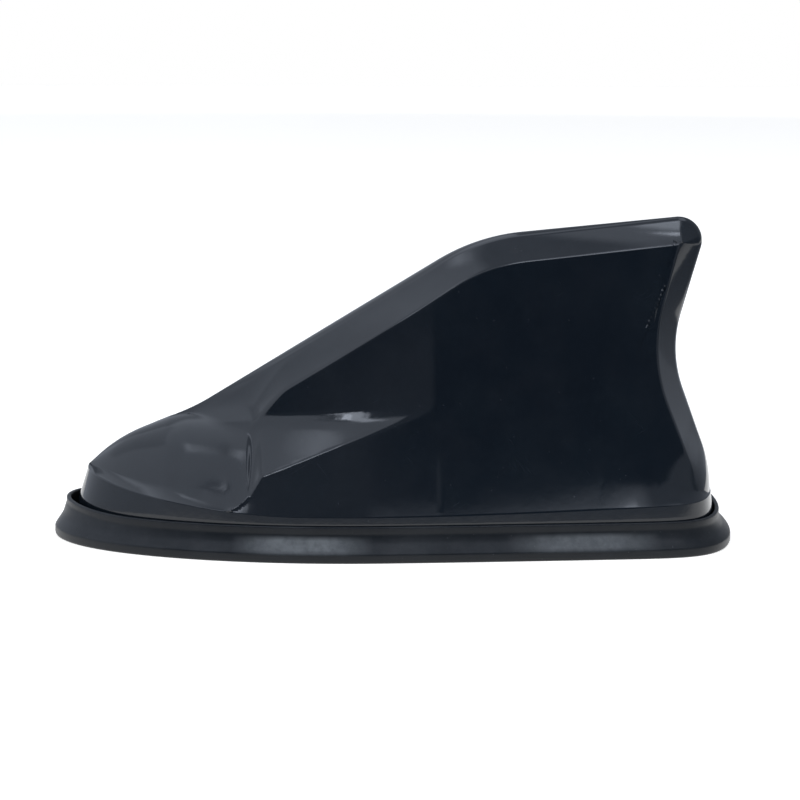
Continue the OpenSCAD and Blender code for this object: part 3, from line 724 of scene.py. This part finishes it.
def make_fine_grain():
    """Fine grain of a moulded, cast or rolled surface, as a height."""
    g = Group("fine grain", [("Size", "value", 2000.0), ("Stretch", "vector", (1, 1, 1))],
              [("Height", "value")])
    place = g.node("TexCoord").outputs["Object"]
    pulled = g.node("VectorMath", {"operation": "MULTIPLY"}, in_0=place,
                    in_1=g.value("Stretch")).outputs[0]
    small = g.node("TexNoise", None, Vector=pulled, Scale=g.value("Size"), Detail=3.0,
                   Roughness=0.6)
    cells = g.node("TexVoronoi", None, Vector=pulled, Scale=g.value("Size"))
    pits = maths(g.tree, "MULTIPLY", cells.outputs["Distance"], 0.4)
    g.give("Height", maths(g.tree, "ADD", small.outputs["Fac"], pits))
    return g.tree


def make_dust_film():
    """Thin dust that settles where the surface looks up, with a few larger specks."""
    g = Group("dust film",
              [("Film", "value", 0.1), ("Specks", "value", 0.3), ("Size", "value", 900.0)],
              [("Mask", "value")])
    place = g.node("TexCoord").outputs["Object"]
    normal = g.node("NewGeometry").outputs["Normal"]
    up = remap(g.tree, g.node("SeparateXYZ", None, Vector=normal).outputs["Z"], -0.3, 1.0)
    cloud = g.node("TexNoise", None, Vector=place, Scale=90.0, Detail=5.0, Roughness=0.65)
    settled = maths(g.tree, "MULTIPLY", up, remap(g.tree, cloud.outputs["Fac"], 0.42, 0.75))
    film = maths(g.tree, "MULTIPLY", settled, g.value("Film"))
    cells = g.node("TexVoronoi", {"feature": "F1"}, Vector=place, Scale=g.value("Size"))
    speck = remap(g.tree, cells.outputs["Distance"], 0.13, 0.07)
    draw = g.node("SeparateXYZ", None, Vector=cells.outputs["Color"]).outputs["X"]
    few = maths(g.tree, "MULTIPLY", speck, remap(g.tree, draw, 0.9, 0.92))
    specks = maths(g.tree, "MULTIPLY", few, g.value("Specks"))
    g.give("Mask", maths(g.tree, "ADD", film, specks, True))
    return g.tree


def make_hair_scratches():
    """Short hair-thin scratches in two directions, as a mask."""
    g = Group("hair scratches", [("Amount", "value", 0.5)], [("Mask", "value")])
    place = g.node("TexCoord").outputs["Object"]
    total = None
    for turn, stretch in ((0.5, 5200.0), (-0.9, 4100.0)):
        turned = g.node("VectorRotate", {"rotation_type": "Y_AXIS"}, Vector=place, Angle=turn)
        thin = g.node("Mapping", None, Vector=turned.outputs[0],
                      Scale=(130.0, 60.0, stretch)).outputs[0]
        noise = g.node("TexNoise", None, Vector=thin, Scale=1.0, Detail=1.0).outputs["Fac"]
        line = remap(g.tree, noise, 0.73, 0.76)
        total = line if total is None else maths(g.tree, "MAXIMUM", total, line)
    where = g.node("TexNoise", None, Vector=place, Scale=60.0, Detail=2.0).outputs["Fac"]
    worn = maths(g.tree, "MULTIPLY", total, remap(g.tree, where, 0.5, 0.65))
    g.give("Mask", maths(g.tree, "MULTIPLY", worn, g.value("Amount")))
    return g.tree


def make_edge_wear():
    """Bright wear along edges, broken up by noise."""
    g = Group("edge wear", [("Radius", "value", 0.0004), ("Amount", "value", 0.5)],
              [("Mask", "value")])
    place = g.node("TexCoord").outputs["Object"]
    soft = g.node("Bevel", {"samples": 4}, Radius=g.value("Radius")).outputs[0]
    true = g.node("NewGeometry").outputs["Normal"]
    same = g.node("VectorMath", {"operation": "DOT_PRODUCT"}, in_0=soft, in_1=true).outputs["Value"]
    edge = remap(g.tree, same, 0.995, 0.86)
    chips = g.node("TexNoise", None, Vector=place, Scale=1400.0, Detail=4.0, Roughness=0.7)
    broken = maths(g.tree, "MULTIPLY", edge, remap(g.tree, chips.outputs["Fac"], 0.42, 0.62))
    g.give("Mask", maths(g.tree, "MULTIPLY", broken, g.value("Amount"), True))
    return g.tree


TONE_DRIFT = make_tone_drift()
FINE_GRAIN = make_fine_grain()
DUST_FILM = make_dust_film()
HAIR_SCRATCHES = make_hair_scratches()
EDGE_WEAR = make_edge_wear()


class Finish:
    """A material with its shader, and the groups that feed it."""

    def __init__(self, name, **constants):
        self.material = bpy.data.materials.new(name)
        self.material.use_nodes = True
        self.tree = self.material.node_tree
        self.shader = self.tree.nodes["Principled BSDF"]
        for key, value in constants.items():
            self.shader.inputs[key.replace("_", " ")].default_value = value

    def use(self, group, **inputs):
        made = self.tree.nodes.new("ShaderNodeGroup")
        made.node_tree = group
        for key, value in inputs.items():
            socket = made.inputs[key]
            if isinstance(value, bpy.types.NodeSocket):
                self.tree.links.new(value, socket)
            else:
                socket.default_value = value
        return made

    def mix(self, mask, a, b):
        made = add_node(self.tree, "Mix", {"data_type": "RGBA"}, in_0=mask, in_6=a, in_7=b)
        return made.outputs[2]

    def feed(self, socket, value):
        self.tree.links.new(value, self.shader.inputs[socket])

    def bump(self, height, depth):
        made = add_node(self.tree, "Bump", None, Height=height, Distance=depth)
        self.feed("Normal", made.outputs["Normal"])


def rgb(r, g, b):
    """Colour from the 0 to 255 values that it has on a screen."""
    def linear(c):
        return c / 255 / 12.92 if c <= 10 else ((c / 255 + 0.055) / 1.055) ** 2.4

    return (linear(r), linear(g), linear(b), 1.0)


def place_on(piece, finish):
    piece.data.materials.clear()
    piece.data.materials.append(finish.material)


# Glossy black plastic of the cover
def cover_gloss():
    f = Finish("cover gloss black", IOR=1.5, Specular_IOR_Level=0.5)
    tone = f.use(TONE_DRIFT, Base=rgb(17, 23, 31), Other=rgb(19, 26, 34), Size=30.0)
    dust = f.use(DUST_FILM, Film=0.035, Specks=0.1, Size=700.0)
    scratch = f.use(HAIR_SCRATCHES, Amount=0.03)
    marked = maths(f.tree, "MAXIMUM", dust.outputs["Mask"], scratch.outputs["Mask"])
    f.feed("Base Color", f.mix(marked, tone.outputs["Color"], rgb(112, 116, 124)))
    f.feed("Roughness", remap(f.tree, marked, 0.0, 0.5, 0.09, 0.4))
    peel = f.use(FINE_GRAIN, Size=260.0)
    f.bump(peel.outputs["Height"], 0.000012)
    return f


# Satin rubber of the skirt, with a painted sheen in its hollow: pale patches in its colour that
# stand in for the soft reflection of lamps
PAINTED_SHEEN_SPOTS = ((-23, 17, 1.0), (45, 19, 0.75))
PAINTED_SHEEN_LOW, PAINTED_SHEEN_HIGH = 2.4, 5.6
PAINTED_SHEEN_FULL = 0.35


def painted_sheen_mask(tree):
    """Pale patches of painted sheen, in place of a lamp's soft reflection: each has a middle and a
    half-length along the skirt, and a strength.
    """
    place = add_node(tree, "TexCoord").outputs["Object"]
    axes = add_node(tree, "SeparateXYZ", None, Vector=place)
    along = None
    for middle, reach, strength in PAINTED_SHEEN_SPOTS:
        away = maths(tree, "ABSOLUTE", maths(tree, "SUBTRACT", axes.outputs["X"], middle * MM))
        spot = remap(tree, away, reach * MM, PAINTED_SHEEN_FULL * reach * MM, 0.0, strength)
        along = spot if along is None else maths(tree, "MAXIMUM", along, spot)
    rising = remap(tree, axes.outputs["Z"], (PAINTED_SHEEN_LOW - 0.5) * MM, (PAINTED_SHEEN_LOW + 0.7) * MM)
    falling = remap(tree, axes.outputs["Z"], (PAINTED_SHEEN_HIGH + 0.7) * MM, (PAINTED_SHEEN_HIGH - 0.5) * MM)
    noise = add_node(tree, "TexNoise", None, Vector=place, Scale=420.0, Detail=5.0, Roughness=0.65)
    broken = remap(tree, noise.outputs["Fac"], 0.3, 0.6, 0.6, 1.0)
    patch = maths(tree, "MULTIPLY", along, maths(tree, "MULTIPLY", rising, falling))
    return maths(tree, "MULTIPLY", patch, broken)


def skirt_satin():
    f = Finish("skirt satin rubber", IOR=1.5, Specular_IOR_Level=0.3)
    tone = f.use(TONE_DRIFT, Base=rgb(12, 17, 23), Other=rgb(18, 23, 29), Size=55.0,
                 Low=0.5, High=0.75)
    edge = f.use(EDGE_WEAR, Radius=0.0005, Amount=0.3)
    dust = f.use(DUST_FILM, Film=0.1, Specks=0.3, Size=1100.0)
    worn = maths(f.tree, "MAXIMUM", edge.outputs["Mask"], dust.outputs["Mask"])
    painted_sheen = painted_sheen_mask(f.tree)
    # Painted sheen: the base colour turns pale grey where lamps would gleam on the satin, and the
    # roughness rises there
    pale = f.mix(painted_sheen, tone.outputs["Color"], rgb(96, 101, 107))
    f.feed("Base Color", f.mix(worn, pale, rgb(118, 121, 126)))
    f.feed("Roughness", remap(f.tree, painted_sheen, 0.0, 1.0, 0.42, 0.62))
    grain = f.use(FINE_GRAIN, Size=2600.0, Stretch=(0.6, 0.6, 1.0))
    f.bump(grain.outputs["Height"], 0.00002)
    return f


place_on(cover, cover_gloss())
place_on(skirt, skirt_satin())


def plain_finish(name, base, other, worn, rough, grain, depth, stretch=(1, 1, 1), wear=0.5,
                 **constants):
    """A moulded, cast or plated finish with drift, grain, edge wear and a little dust."""
    f = Finish(name, **constants)
    tone = f.use(TONE_DRIFT, Base=base, Other=other, Size=120.0)
    edge = f.use(EDGE_WEAR, Radius=0.0003, Amount=wear)
    dust = f.use(DUST_FILM, Film=0.12, Specks=0.2, Size=1500.0)
    marked = maths(f.tree, "MAXIMUM", edge.outputs["Mask"], dust.outputs["Mask"])
    f.feed("Base Color", f.mix(marked, tone.outputs["Color"], worn))
    f.feed("Roughness", remap(f.tree, marked, 0.0, 1.0, *rough))
    skin_grain = f.use(FINE_GRAIN, Size=grain, Stretch=stretch)
    f.bump(skin_grain.outputs["Height"], depth)
    return f


def board_laminate():
    """Green solder mask with raised tracks under it and tinned pads."""
    f = Finish("board laminate", IOR=1.5)
    place = add_node(f.tree, "TexCoord").outputs["Object"]
    tracks = add_node(f.tree, "TexBrick", {"offset": 0.37, "squash": 1.6, "squash_frequency": 3},
                      Vector=place, Scale=230.0, Mortar_Size=0.06, Mortar_Smooth=0.25,
                      Brick_Width=0.9, Row_Height=0.45)
    pads = add_node(f.tree, "TexVoronoi", None, Vector=place, Scale=260.0)
    pad = remap(f.tree, pads.outputs["Distance"], 0.17, 0.14)
    tone = f.use(TONE_DRIFT, Base=rgb(16, 82, 46), Other=rgb(22, 96, 54), Size=90.0)
    raised = f.mix(tracks.outputs["Fac"], tone.outputs["Color"], rgb(40, 122, 70))
    f.feed("Base Color", f.mix(pad, raised, rgb(190, 190, 186)))
    f.feed("Metallic", pad)
    f.feed("Roughness", remap(f.tree, tracks.outputs["Fac"], 0.0, 1.0, 0.3, 0.22))
    f.bump(maths(f.tree, "ADD", tracks.outputs["Fac"], pad), 0.00004)
    return f


def pad_foam():
    """Open foam with a torn, cellular skin."""
    f = Finish("pad foam", IOR=1.45)
    place = add_node(f.tree, "TexCoord").outputs["Object"]
    cells = add_node(f.tree, "TexVoronoi", None, Vector=place, Scale=1500.0)
    open_cell = remap(f.tree, cells.outputs["Distance"], 0.1, 0.5)
    tone = f.use(TONE_DRIFT, Base=rgb(38, 39, 41), Other=rgb(50, 51, 54), Size=200.0)
    f.feed("Base Color", f.mix(open_cell, rgb(22, 22, 24), tone.outputs["Color"]))
    f.feed("Roughness", remap(f.tree, open_cell, 0.0, 1.0, 0.95, 0.8))
    f.bump(open_cell, 0.00015)
    return f


BRUSHED = (0.12, 1, 1)
FINISHES = {
    "base_plastic": plain_finish(
        "base plastic", rgb(36, 37, 40), rgb(44, 45, 48), rgb(96, 97, 100),
        rough=(0.48, 0.7), grain=2200.0, depth=0.00004),
    "soft_rubber": plain_finish(
        "grommet rubber", rgb(24, 25, 27), rgb(33, 34, 36), rgb(80, 81, 84),
        rough=(0.55, 0.75), grain=2600.0, depth=0.00003),
    "zinc_steel": plain_finish(
        "zinc plated steel", rgb(168, 170, 172), rgb(186, 184, 176), rgb(214, 214, 212),
        rough=(0.3, 0.5), grain=1500.0, depth=0.00002,
        wear=0.7, Metallic=1.0),
    "tinned_sheet": plain_finish(
        "tinned sheet", rgb(176, 178, 180), rgb(158, 160, 164), rgb(210, 211, 212),
        rough=(0.26, 0.45), grain=900.0, depth=0.000025,
        stretch=BRUSHED, wear=0.6, Metallic=1.0),
    "chip_black": plain_finish(
        "chip epoxy", rgb(24, 24, 26), rgb(31, 31, 33), rgb(70, 70, 74),
        rough=(0.5, 0.7), grain=3500.0, depth=0.00003, wear=0.3),
    "chip_tan": plain_finish(
        "chip ceramic", rgb(150, 124, 88), rgb(166, 140, 104), rgb(206, 206, 204),
        rough=(0.45, 0.35), grain=3000.0, depth=0.00002),
    "ferrite": plain_finish(
        "ferrite", rgb(52, 48, 45), rgb(66, 60, 56), rgb(104, 98, 92),
        rough=(0.6, 0.7), grain=2600.0, depth=0.00005),
    "gold_plate": plain_finish(
        "gold plate", rgb(214, 170, 84), rgb(224, 184, 104), rgb(240, 208, 140),
        rough=(0.22, 0.4), grain=1200.0, depth=0.000015,
        stretch=BRUSHED, wear=0.5, Metallic=1.0),
    "white_plastic": plain_finish(
        "white nylon", rgb(224, 221, 210), rgb(214, 210, 198), rgb(238, 237, 232),
        rough=(0.42, 0.55), grain=2400.0, depth=0.00003,
        wear=0.3, Subsurface_Weight=0.1, Subsurface_Scale=0.001),
    "former_plastic": plain_finish(
        "former plastic", rgb(206, 198, 178), rgb(196, 186, 164), rgb(226, 221, 208),
        rough=(0.45, 0.6), grain=2400.0, depth=0.00003,
        wear=0.3, Subsurface_Weight=0.08, Subsurface_Scale=0.001),
    "copper_wire": plain_finish(
        "enamelled copper", rgb(184, 104, 60), rgb(168, 88, 48), rgb(214, 140, 96),
        rough=(0.24, 0.4), grain=1600.0, depth=0.00001,
        wear=0.2, Metallic=1.0, Coat_Weight=0.6, Coat_Roughness=0.08),
    "board": board_laminate(),
    "foam": pad_foam(),
}
NODE_FINISHES = {
    "base_plate": "base_plastic", "adhesive_pad": "foam", "cable_grommet": "soft_rubber",
    "cover_screws": "zinc_steel", "main_board": "board", "board_screws": "zinc_steel",
    "shield_can": "tinned_sheet", "amplifier_chip": "chip_black", "chip_capacitors": "chip_tan",
    "chip_resistors": "chip_black", "filter_coils": "ferrite", "lead_socket": "gold_plate",
    "socket_insulator": "white_plastic", "socket_pin": "gold_plate",
    "supply_header": "white_plastic", "header_pins": "tinned_sheet",
    "coil_former": "former_plastic", "former_screws": "zinc_steel", "antenna_coil": "copper_wire",
    "top_plate": "tinned_sheet", "plate_screw": "zinc_steel", "damping_pad": "foam",
}
for node_name, finish_name in NODE_FINISHES.items():
    place_on(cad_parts[node_name], FINISHES[finish_name])


# White world and pale table
WORLD_TINT, WORLD_STRENGTH = (0.9, 0.95, 1.0, 1), 0.35
WHITE = (1, 1, 1, 1)
TABLE_REACH = 3.0
TABLE_TONE = (0.85, 0.85, 0.85, 1)
TABLE_GLOW = 0.62


def looked_at(tree):
    """1 for rays that see a surface directly, in a mirror or through glass."""
    path = add_node(tree, "LightPath")
    seen = maths(tree, "ADD", path.outputs["Is Camera Ray"], path.outputs["Is Glossy Ray"], True)
    return maths(tree, "ADD", seen, path.outputs["Is Transmission Ray"], True)


def white_world():
    """White where it is seen, and a soft cool light for the rest."""
    world = bpy.data.worlds.new("white studio")
    bpy.context.scene.world = world
    world.use_nodes = True
    tree = world.node_tree
    tree.nodes.clear()
    lit = add_node(tree, "Background", None, Color=WORLD_TINT, Strength=WORLD_STRENGTH).outputs[0]
    seen = add_node(tree, "Background", None, Color=WHITE, Strength=1.0).outputs[0]
    mix = add_node(tree, "MixShader", None, in_0=looked_at(tree), in_1=lit, in_2=seen)
    out = tree.nodes.new("ShaderNodeOutputWorld")
    tree.links.new(mix.outputs[0], out.inputs["Surface"])


def flat_sheet(name, points, faces, material):
    mesh = bpy.data.meshes.new(name)
    mesh.from_pydata(points, [], faces)
    sheet = bpy.data.objects.new(name, mesh)
    bpy.context.scene.collection.objects.link(sheet)
    mesh.materials.append(material)
    return sheet


def pale_table():
    """A white table that keeps the aerial's soft shadow."""
    f = Finish("pale table", Roughness=0.6, Specular_IOR_Level=0.2, Base_Color=TABLE_TONE,
               Emission_Color=WHITE)
    f.feed("Emission Strength", maths(f.tree, "MULTIPLY", looked_at(f.tree), TABLE_GLOW))
    r = TABLE_REACH
    corners = [(-r, -r, 0), (r, -r, 0), (r, r, 0), (-r, r, 0)]
    flat_sheet("table", corners, [(0, 1, 2, 3)], f.material)


# What mirrors see round the aerial, as areas of a dome that are painted in this order. Each is
# turn from and to, rise from and to, soft edge and tone. A turn of 0 is straight ahead of the
# long side that faces the camera and grows towards the tail; a rise of 90 is overhead.
SURROUND_R = 2.2
SURROUND_AROUND, SURROUND_UP = 96, 32
SURROUND_TINT = (0.80, 0.87, 1.0, 1)
SURROUND_GAIN = 1.15
OPEN_TONE = 1.05
SURROUND_AREAS = {
    "wall behind the nose": (-190, -145, -5, 44, 8, 0.5),
    "ceiling": (-190, 190, 77, 95, 4, 0.55),
    "wall over the nose": (-145, -108, 30, 51, 5, 0.8),
    "wall towards the tail": (30, 190, -5, 62, 8, 0.34),
    "ceiling behind the tail": (50, 130, 62, 78, 6, 1.5),
    "dark flag in front": (-52, 34, 2, 45, 4, 0.0),
    "dark flag over the hollow": (-50, 6, 30, 62, 5, 0.15),
    "dark flag at the tail": (64, 104, -5, 14, 6, 0.15),
    "soft box over the fin": (7, 24, 49, 64, 2, 3.8),
    "edge of that soft box": (7, 32, 62, 75, 4, 1.3),
    "window over the nose": (-104, -84, 67, 73, 6, 2.2),
    "window over the hollow": (-45, -32, 50, 67, 3, 4.2),
    "lamp over the hollow": (-45, -41, 55, 58, 1, 10.0),
    "lamp over the fin": (10, 14, 51, 55, 1, 10.0),
    "lamp over the tip": (23, 27, 64, 67, 1, 8.0),
}


def bare_material(name):
    material = bpy.data.materials.new(name)
    material.use_nodes = True
    material.node_tree.nodes.clear()
    return material


def let_glow(tree, tone):
    glow = add_node(tree, "Emission", None, Color=SURROUND_TINT, Strength=tone).outputs[0]
    out = tree.nodes.new("ShaderNodeOutputMaterial")
    tree.links.new(glow, out.inputs["Surface"])


def only_in_mirrors(sheet):
    sheet.visible_camera = False
    sheet.visible_diffuse = False
    sheet.visible_shadow = False
    sheet.visible_transmission = False


def window_of(tree, value, low, high, soft):
    """1 between low and high, with a soft edge on each side."""
    rising = remap(tree, value, low - soft / 2, low + soft / 2)
    falling = remap(tree, value, high + soft / 2, high - soft / 2)
    return maths(tree, "MULTIPLY", rising, falling)


def studio_surround():
    """A dome that only mirrors see, with dark flags, soft boxes and lamps."""
    around = SURROUND_AROUND
    points, faces = [], []
    for j in range(SURROUND_UP + 1):
        rise = math.radians(lerp(0.3, 89.7, j / SURROUND_UP))
        level, height = SURROUND_R * math.cos(rise), SURROUND_R * math.sin(rise)
        for i in range(around):
            a = 2 * math.pi * i / around
            points.append((level * math.cos(a), level * math.sin(a), height))
    for j in range(SURROUND_UP):
        for i in range(around):
            a, b = j * around + i, j * around + (i + 1) % around
            faces.append((a, b, b + around, a + around))
    material = bare_material("studio surround")
    tree = material.node_tree
    place = add_node(tree, "TexCoord").outputs["Object"]
    axes = add_node(tree, "SeparateXYZ", None, Vector=place)
    degree = math.pi / 180
    climb = maths(tree, "ARCSINE", maths(tree, "DIVIDE", axes.outputs["Z"], SURROUND_R))
    rise = maths(tree, "DIVIDE", climb, degree)
    ahead = maths(tree, "MULTIPLY", axes.outputs["Y"], -1.0)
    turn = maths(tree, "DIVIDE", maths(tree, "ARCTAN2", axes.outputs["X"], ahead), degree)
    tone = OPEN_TONE
    for turn_low, turn_high, rise_low, rise_high, soft, area_tone in SURROUND_AREAS.values():
        across = window_of(tree, turn, turn_low, turn_high, soft)
        area = maths(tree, "MULTIPLY", across, window_of(tree, rise, rise_low, rise_high, soft))
        tone = add_node(tree, "Mix", None, in_0=area, in_2=tone, in_3=area_tone).outputs[0]
    tone = maths(tree, "MULTIPLY", tone, SURROUND_GAIN)
    let_glow(tree, tone)
    only_in_mirrors(flat_sheet("studio surround", points, faces, material))


# Low card: its size, its tones and the shares of its radius over which the tones change
CARD_R, CARD_H = 0.3, 0.045
CARD_AROUND = 96
CARD_LEFT, CARD_FRONT, CARD_RIGHT = 0.8, 0.45, 0.3
CARD_TURN_FROM, CARD_TURN_TO = 0.45 * CARD_R, 0.85 * CARD_R


def low_card():
    """A low grey card right round the aerial, which mirrors see in place of the far table."""
    n = CARD_AROUND
    angles = [2 * math.pi * i / n for i in range(n)]
    points = [(CARD_R * math.sin(a), CARD_R * math.cos(a), z) for z in (MM, CARD_H) for a in angles]
    faces = [(i, (i + 1) % n, n + (i + 1) % n, n + i) for i in range(n)]
    material = bare_material("low card")
    tree = material.node_tree
    place = add_node(tree, "TexCoord").outputs["Object"]
    across = add_node(tree, "SeparateXYZ", None, Vector=place).outputs["X"]
    left = remap(tree, across, -CARD_TURN_TO, -CARD_TURN_FROM, CARD_LEFT, CARD_FRONT)
    right = remap(tree, across, CARD_TURN_FROM, CARD_TURN_TO, 0.0, CARD_RIGHT - CARD_FRONT)
    let_glow(tree, maths(tree, "ADD", left, right))
    only_in_mirrors(flat_sheet("low card", points, faces, material))


# Two soft square lamps, each with its place, its side and its power
LAMP_AIM = (0, 0, 0.03)
STUDIO_LAMPS = {
    "key lamp": ((-0.5, -0.9, 1.5), 0.5, 14),
    "fill lamp": ((0.9, -0.6, 1.2), 0.5, 7),
}


def soft_lamp(name, place, side, watts):
    """A square area lamp that faces the aerial and that no mirror sees."""
    data = bpy.data.lights.new(name, "AREA")
    data.shape = "SQUARE"
    data.size = side
    data.energy = watts
    lamp = bpy.data.objects.new(name, data)
    lamp.location = place
    lamp.rotation_euler = (Vector(LAMP_AIM) - Vector(place)).to_track_quat("-Z", "Y").to_euler()
    lamp.visible_glossy = False
    bpy.context.scene.collection.objects.link(lamp)


white_world()
pale_table()
studio_surround()
low_card()
for lamp_name, lamp_values in STUDIO_LAMPS.items():
    soft_lamp(lamp_name, *lamp_values)

bpy.context.scene.view_settings.view_transform = "Standard"
